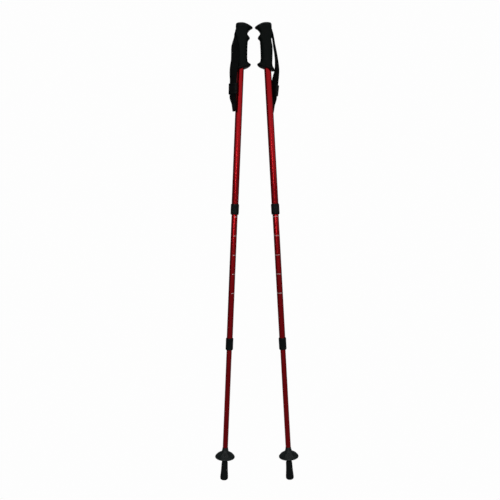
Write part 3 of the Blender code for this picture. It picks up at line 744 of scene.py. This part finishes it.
def strap_line(side):
    """(place, width direction) along the whole length: up the outer ply, round the pin, down the inner ply."""
    route, straight = strap_route(side)
    fine = spline(route, 4)
    rows = []
    for i, row in enumerate(fine):
        p = Vector(row[:3])
        ahead = Vector(fine[min(i + 1, len(fine) - 1)][:3]) - Vector(fine[max(i - 1, 0)][:3])
        ahead.normalize()
        a = math.radians(row[3])
        wide = Vector((-math.sin(a), math.cos(a), 0.0))
        wide = (wide - ahead * wide.dot(ahead)).normalized()
        face = wide.cross(ahead).normalized()
        if face.dot(Vector((math.cos(a), math.sin(a), 0))) < 0:
            face = -face
        rows.append((p, wide, face, row[4]))
    first = next(i for i, r in enumerate(rows) if (r[0] - rows[0][0]).length > 0.0030)
    outer = [(p - face * h, wide) for p, wide, face, h in rows[first:]]
    inner = [(p + face * h, wide) for p, wide, face, h in rows[first:]]
    top, wide, face, h = rows[0]
    up = -(rows[1][0] - rows[0][0]).normalized()
    bend = []
    for k in range(17):
        a = math.pi * k / 16
        bend.append((top - face * (h * math.cos(a)) + up * (h * math.sin(a)), wide))
    return list(reversed(outer)) + bend + inner, rows, straight


def strap_mesh(side):
    line, rows, straight = strap_line(side)
    half_w, half_t = WEB_WIDE / 2, WEB_THICK / 2
    outline = [(u, half_t) for u in (-0.0086, -0.0065, -0.0040, -0.0014, 0.0014, 0.0040, 0.0065, 0.0086)]
    arc = [(math.cos(math.radians(a)), math.sin(math.radians(a))) for a in (60, 30, 0, -30, -60)]
    edge = [(half_w - 0.0007 + 0.0007 * c, half_t * 0.94 * s) for c, s in arc]
    outline = outline + [(0.0093, half_t * 0.97)] + edge + [(0.0093, -half_t * 0.97)]
    outline += [(u, -half_t) for u in (0.0086, 0.0065, 0.0040, 0.0014, -0.0014, -0.0040, -0.0065, -0.0086)]
    outline += [(-0.0093, -half_t * 0.97)] + [(-u, -v) for u, v in edge] + [(-0.0093, half_t * 0.97)]
    bm = bmesh.new()
    lay = bm.verts.layers.float_vector.new("lay")
    rings = []
    travel = 0.0
    last = len(line) - 1
    for i, (p, wide) in enumerate(line):
        before, after = line[max(i - 1, 0)][0], line[min(i + 1, last)][0]
        ahead = (after - before).normalized()
        if i:
            travel += (p - line[i - 1][0]).length
        normal = wide.cross(ahead).normalized()
        # the cut ends are sealed with heat, so they are a little thinner
        thin = 0.62 if i in (0, last) else 1.0
        ring = []
        for u, v in outline:
            vert = bm.verts.new(p + wide * (u * (0.985 if thin < 1 else 1.0)) + normal * (v * thin))
            vert[lay] = (u, travel, v)
            ring.append(vert)
        rings.append(ring)
    count = len(outline)
    for a, b in zip(rings, rings[1:]):
        for k in range(count):
            j = (k + 1) % count
            bm.faces.new((a[k], a[j], b[j], b[k]))
    bm.faces.new(list(reversed(rings[0])))
    bm.faces.new(rings[-1])
    return finished(bm, "wrist_strap", WEB, 50), line, straight, travel


def stitches(line):
    """Rows of thread through both plies: a box with a cross near the cut ends."""
    bm = bmesh.new()

    def at(s, u, lift, reverse):
        """A point on the outer face of a ply, s metres up from its cut end."""
        rows = list(reversed(line)) if reverse else line
        gone = 0.0
        for (a, wa), (b, wb) in zip(rows, rows[1:]):
            step = (b - a).length
            if gone + step >= s:
                f = (s - gone) / step
                p, wide = a.lerp(b, f), wa.lerp(wb, f).normalized()
                n = wide.cross((b - a).normalized()).normalized()
                return p, wide, n
            gone += step
        return rows[-1][0], rows[-1][1], Vector((0, 0, 1))

    def run(s0, u0, s1, u1, reverse, out):
        length = math.hypot(s1 - s0, u1 - u0)
        count = max(1, round(length / 0.0026))
        for k in range(count):
            f0, f1 = (k + 0.14) / count, (k + 0.86) / count
            path = []
            for f in [f0 + (f1 - f0) * q / 4 for q in range(5)]:
                s, u = s0 + (s1 - s0) * f, u0 + (u1 - u0) * f
                p, wide, n = at(s, u, 0, reverse)
                path.append((p + wide * u, n * out))
            ring_before = None
            lifts = (-0.00010, 0.00012, 0.00016, 0.00012, -0.00010)
            for i, ((p, n), lift) in enumerate(zip(path, lifts)):
                ahead = (path[min(i + 1, 4)][0] - path[max(i - 1, 0)][0]).normalized()
                sideways = n.cross(ahead).normalized()
                centre = p + n * (WEB_THICK / 2 + lift - 0.00004)
                ring = [bm.verts.new(centre + sideways * (0.00026 * math.cos(t)) + n * (0.00016 * math.sin(t)))
                        for t in [2 * math.pi * q / 6 for q in range(6)]]
                if ring_before:
                    for q in range(6):
                        bm.faces.new((ring_before[q], ring_before[(q + 1) % 6], ring[(q + 1) % 6], ring[q]))
                else:
                    bm.faces.new(list(reversed(ring)))
                ring_before = ring
            bm.faces.new(ring_before)

    for reverse, out in ((False, OUT_SIGN), (True, -OUT_SIGN)):
        low, high, w = 0.0040, 0.0200, 0.0070
        run(low, -w, high, -w, reverse, out)
        run(high, -w, high, w, reverse, out)
        run(high, w, low, w, reverse, out)
        run(low, w, low, -w, reverse, out)
        run(low, -w, high, w, reverse, out)
        run(low, w, high, -w, reverse, out)
    return finished(bm, "strap_stitching", THREAD, 60)


OUT_SIGN = -1.0


def keeper_mesh(straight):
    start, end, twist = straight
    ahead = (end - start).normalized()
    a = math.radians(twist)
    wide = Vector((-math.sin(a), math.cos(a), 0.0))
    wide = (wide - ahead * wide.dot(ahead)).normalized()
    face = wide.cross(ahead)
    top = start.lerp(end, (KEEPER_Z[1] - start.z) / (end.z - start.z))
    bottom = start.lerp(end, (KEEPER_Z[0] - start.z) / (end.z - start.z))
    middle, length = (top + bottom) / 2, (top - bottom).length
    half_w, half_f = WEB_WIDE / 2 + GAP, 0.00105 + WEB_THICK / 2 + GAP
    place_matrix = Matrix((
        (wide.x, face.x, ahead.x, middle.x),
        (wide.y, face.y, ahead.y, middle.y),
        (wide.z, face.z, ahead.z, middle.z),
        (0, 0, 0, 1),
    ))
    sides = 72

    def oval(w, f, power, z):
        out = []
        for i in range(sides):
            t = 2 * math.pi * i / sides
            t += 0.14 * math.sin(4 * t)
            c, s = math.cos(t), math.sin(t)
            out.append(Vector((math.copysign(abs(c) ** power, c) * w, math.copysign(abs(s) ** power, s) * f, z)))
        return out

    w, f = half_w + 0.0026, half_f + 0.0025
    levels = []
    for z, k in ((-0.5, 0.90), (-0.495, 0.935), (-0.48, 0.965), (-0.455, 0.987), (-0.42, 1.0), (-0.30, 1.0),
                 (-0.285, 0.955), (-0.265, 0.955), (-0.25, 1.0), (0.0, 1.0), (0.25, 1.0), (0.265, 0.955),
                 (0.285, 0.955), (0.30, 1.0), (0.42, 1.0), (0.455, 0.987), (0.48, 0.965), (0.495, 0.935), (0.5, 0.90)):
        levels.append(oval(w * (1 - (1 - k) * 0.35), f * k, 0.55, z * length))
    inner = [oval(half_w + 0.0002, half_f + 0.0002, 0.16, 0.5 * length), oval(half_w, half_f, 0.16, 0.485 * length),
             oval(half_w, half_f, 0.16, -0.485 * length), oval(half_w + 0.0002, half_f + 0.0002, 0.16, -0.5 * length)]
    bm = bmesh.new()
    rings = [[bm.verts.new(p) for p in level] for level in levels + inner]
    for a_ring, b_ring in zip(rings, rings[1:] + rings[:1]):
        for i in range(sides):
            j = (i + 1) % sides
            bm.faces.new((a_ring[i], a_ring[j], b_ring[j], b_ring[i]))
    bm.transform(place_matrix)
    return finished(bm, "strap_keeper", KEEPER, 40)


# ---------------------------------------------------------------- the printed scale
MARKS = ((0.7045, "120"), (0.6545, "115"), (0.6040, "110"), (0.5540, "105"), (0.5035, "100"))


def scale_mesh(turn, skip):
    """The height scale on the middle tube: a number and a stop line at each five centimetres, as thin ink."""
    bm = bmesh.new()
    radius = R_MIDDLE

    def wrap(x, y, depth, z0):
        a = turn + x / radius
        r = radius + depth
        return r * math.cos(a), r * math.sin(a), z0 + y

    for z0, words in MARKS:
        curve = bpy.data.curves.new("words", "FONT")
        curve.body = words
        curve.size = 0.0044
        curve.align_x = "CENTER"
        curve.align_y = "CENTER"
        curve.extrude = 0.00002
        curve.resolution_u = 3
        helper = bpy.data.objects.new("words", curve)
        bpy.context.scene.collection.objects.link(helper)
        graph = bpy.context.evaluated_depsgraph_get()
        graph.update()
        flat = bpy.data.meshes.new_from_object(helper.evaluated_get(graph))
        bpy.data.objects.remove(helper, do_unlink=True)
        part = bmesh.new()
        part.from_mesh(flat)
        bmesh.ops.remove_doubles(part, verts=part.verts, dist=1e-7)
        verts = {}
        for v in part.verts:
            verts[v] = bm.verts.new(wrap(v.co.x + 0.0012, v.co.y, 0.00003 + v.co.z, z0))
        for face in part.faces:
            bm.faces.new([verts[v] for v in face.verts])
        part.free()
        # the stop line, on both sides of the number
        for x0, x1 in ((-0.0062, -0.0030), (0.0056, 0.0070)):
            count = 8
            rows = []
            for k in range(count + 1):
                x = x0 + (x1 - x0) * k / count
                rows.append([bm.verts.new(wrap(x, y, d, z0)) for y, d in
                             ((-0.0007, 0.00001), (0.0007, 0.00001), (0.0007, 0.00005), (-0.0007, 0.00005))])
            for a, b in zip(rows, rows[1:]):
                for k in range(4):
                    j = (k + 1) % 4
                    bm.faces.new((a[k], a[j], b[j], b[k]))
            bm.faces.new(rows[0])
            bm.faces.new(list(reversed(rows[-1])))
    return finished(bm, "length_scale", INK, 30)


# ---------------------------------------------------------------- build both poles
shared = {
    "rubber_foot": foot_mesh(),
    "basket": basket_mesh(),
    "tip_shaft": ferrule_mesh(),
    "metal_tip": tip_mesh(),
    "lower_tube": tube_mesh("lower_tube", R_LOWER, R_LOWER_IN, Z_LOWER_TUBE),
    "middle_tube": tube_mesh("middle_tube", R_MIDDLE, R_MIDDLE_IN, Z_MIDDLE_TUBE),
    "upper_tube": tube_mesh("upper_tube", R_UPPER, R_UPPER_IN, Z_UPPER_TUBE),
    "lower_collar": collar_mesh("lower_collar", Z_LOWER_COLLAR, 0.0099, R_MIDDLE + GAP, R_LOWER + GAP, 0.0032, 26),
    "upper_collar": collar_mesh("upper_collar", Z_UPPER_COLLAR, 0.0108, R_UPPER + GAP, R_MIDDLE + GAP, 0.0042, 28),
    "grip": grip_mesh(),
    "grip_cap": cap_mesh(),
    "strap_pin": lathe("strap_pin", rounded([(0.0, -PIN_HALF), (PIN_R, -PIN_HALF, 0.0004), (PIN_R, PIN_HALF, 0.0004),
                                             (0.0, PIN_HALF)], closed=True), STEEL, 40),
}
pin_turn = Matrix.Translation((PIN_X, 0, PIN_Z)) @ Matrix.Rotation(math.pi / 2, 4, "X")
shared["strap_pin"].transform(pin_turn)
for prefix, z, r_out, r_in, r_screw in (("lower_", Z_LOWER_TUBE[1], R_LOWER, R_LOWER_IN, 0.0024),
                                        ("upper_", Z_MIDDLE_TUBE[1], R_MIDDLE, R_MIDDLE_IN, 0.0028)):
    for part_name, mesh in zip(("plug", "spindle", "cone_nut", "expander"), lock_meshes(prefix, z, r_out, r_in, r_screw)):
        shared[prefix + part_name] = mesh

PLACES = {
    # piece: (body, material slot)
    "rubber_foot": ("foot", "foot_rubber"),
    "basket": ("basket", "basket_plastic"),
    "tip_shaft": ("lower", "ferrule_plastic"),
    "metal_tip": ("lower", "tip_metal"),
    "lower_tube": ("lower", "red_tube"),
    "lower_plug": ("lower", "lock_nylon"),
    "lower_spindle": ("lower", "steel_pin"),
    "lower_expander": ("lower_expander", "lock_nylon"),
    "lower_cone_nut": ("lower_cone", "lock_nylon"),
    "middle_tube": ("middle", "red_tube"),
    "lower_collar": ("middle", "collar_plastic"),
    "upper_plug": ("middle", "lock_nylon"),
    "upper_spindle": ("middle", "steel_pin"),
    "upper_expander": ("upper_expander", "lock_nylon"),
    "upper_cone_nut": ("upper_cone", "lock_nylon"),
    "upper_tube": ("upper", "red_tube"),
    "upper_collar": ("upper", "collar_plastic"),
    "grip": ("upper", "grip_plastic"),
    "grip_cap": ("upper", "cap_plastic"),
    "strap_pin": ("upper", "steel_pin"),
}
SCALE_TURN = {"left": math.radians(-44), "right": math.radians(81)}
for side in ("left", "right"):
    for name, (body, slot) in PLACES.items():
        place("fine_" + name, shared[name], side, body, slot, name)
    mesh, line, straight, travel = strap_mesh(side)
    place("fine_wrist_strap", mesh, side, "strap", "webbing", "wrist_strap")
    place("strap_stitching", stitches(line), side, "strap", "webbing")
    place("fine_strap_keeper", keeper_mesh(straight), side, "keeper", "keeper_plastic", "strap_keeper")
    place("length_scale", scale_mesh(SCALE_TURN[side], 0), side, "middle", "red_tube")
    print("strap length", side, round(travel, 4))

# ---------------------------------------------------------------- floor, light, camera
scene = bpy.context.scene
scene.view_settings.view_transform = "Standard"
scene.view_settings.look = "None"

WHITE = 0.985

world = bpy.data.worlds.new("studio")
scene.world = world
world.use_nodes = True
tree = world.node_tree
background = tree.nodes["Background"]
path = tree.nodes.new("ShaderNodeLightPath")
mix = tree.nodes.new("ShaderNodeMix")
mix.data_type = "RGBA"
mix.inputs[6].default_value = (0.10, 0.105, 0.11, 1)
mix.inputs[7].default_value = (WHITE, WHITE, WHITE, 1)
tree.links.new(path.outputs["Is Camera Ray"], mix.inputs[0])
tree.links.new(mix.outputs[2], background.inputs["Color"])

bm = bmesh.new()
bmesh.ops.create_grid(bm, x_segments=1, y_segments=1, size=14)
floor_mesh = bpy.data.meshes.new("floor")
bm.to_mesh(floor_mesh)
bm.free()
floor = bpy.data.objects.new("floor", floor_mesh)
scene.collection.objects.link(floor)
floor.location = (0, 0, -0.0004)
paper = bpy.data.materials.new("pale_floor")
paper.use_nodes = True
tree = paper.node_tree
bsdf = tree.nodes["Principled BSDF"]
bsdf.inputs["Base Color"].default_value = (0.62, 0.62, 0.62, 1)
bsdf.inputs["Roughness"].default_value = 1.0
bsdf.inputs["Specular IOR Level"].default_value = 0.0
output = tree.nodes["Material Output"]
path = tree.nodes.new("ShaderNodeLightPath")
glow = tree.nodes.new("ShaderNodeEmission")
glow.inputs["Color"].default_value = (WHITE, WHITE, WHITE, 1)
blend = tree.nodes.new("ShaderNodeMixShader")
tree.links.new(path.outputs["Is Camera Ray"], blend.inputs[0])
tree.links.new(bsdf.outputs[0], blend.inputs[1])
tree.links.new(glow.outputs[0], blend.inputs[2])
tree.links.new(blend.outputs[0], output.inputs["Surface"])
floor_mesh.materials.append(paper)


def softbox(name, at, target, width, height, power, colour=(1, 1, 1)):
    data = bpy.data.lights.new(name, "AREA")
    data.shape = "RECTANGLE"
    data.size, data.size_y = width, height
    data.energy = power
    data.color = colour
    obj = bpy.data.objects.new(name, data)
    scene.collection.objects.link(obj)
    obj.location = at
    obj.rotation_euler = (Vector(target) - Vector(at)).to_track_quat("-Z", "Y").to_euler()
    obj.visible_camera = False
    return obj


def panel(name, angle, low, high, wide, radiance, distance=2.4):
    """An upright softbox round the poles, at an angle to the right of the camera's own direction."""
    a = math.radians(angle)
    middle = (low + high) / 2
    at = (distance * math.sin(a), -distance * math.cos(a), middle)
    return softbox(name, at, (0, 0, middle), wide, high - low, math.pi * wide * (high - low) * radiance)


panel("upper_left", -34, 0.88, 2.60, 2.3, 0.62)
panel("upper_front", 16, 0.88, 2.60, 2.1, 0.70)
panel("upper_right", 66, 0.88, 2.60, 2.3, 0.62)
panel("lower_left", -34, 0.05, 0.60, 2.3, 0.26)
panel("lower_front", 16, 0.05, 0.60, 2.1, 0.30)
panel("lower_right", 66, 0.05, 0.60, 2.3, 0.26)
softbox("front_strip", (-0.24, -2.35, 0.89), (0, 0, 0.78), 0.30, 0.42, 3.4)
softbox("overhead", (0.0, -0.3, 2.9), (0, 0, 0.4), 1.6, 1.6, 9)
softbox("back_broad", (0.1, 2.4, 1.4), (0, 0, 0.7), 1.5, 1.6, 4)

camera_data = bpy.data.cameras.new("camera")
camera_data.lens = 40.0
camera_data.sensor_width = 36.0
camera = bpy.data.objects.new("camera", camera_data)
scene.collection.objects.link(camera)
scene.camera = camera
camera.location = (-0.0124, -1.4554, 0.7041)
YAW, PITCH, ROLL = math.radians(0.064), math.radians(-3.430), math.radians(-0.449)
look = Matrix.Rotation(YAW, 4, "Z") @ Matrix.Rotation(math.pi / 2 + PITCH, 4, "X")
camera.matrix_world = Matrix.Translation(camera.location) @ look @ Matrix.Rotation(ROLL, 4, "Z")

bpy.context.view_layer.update()
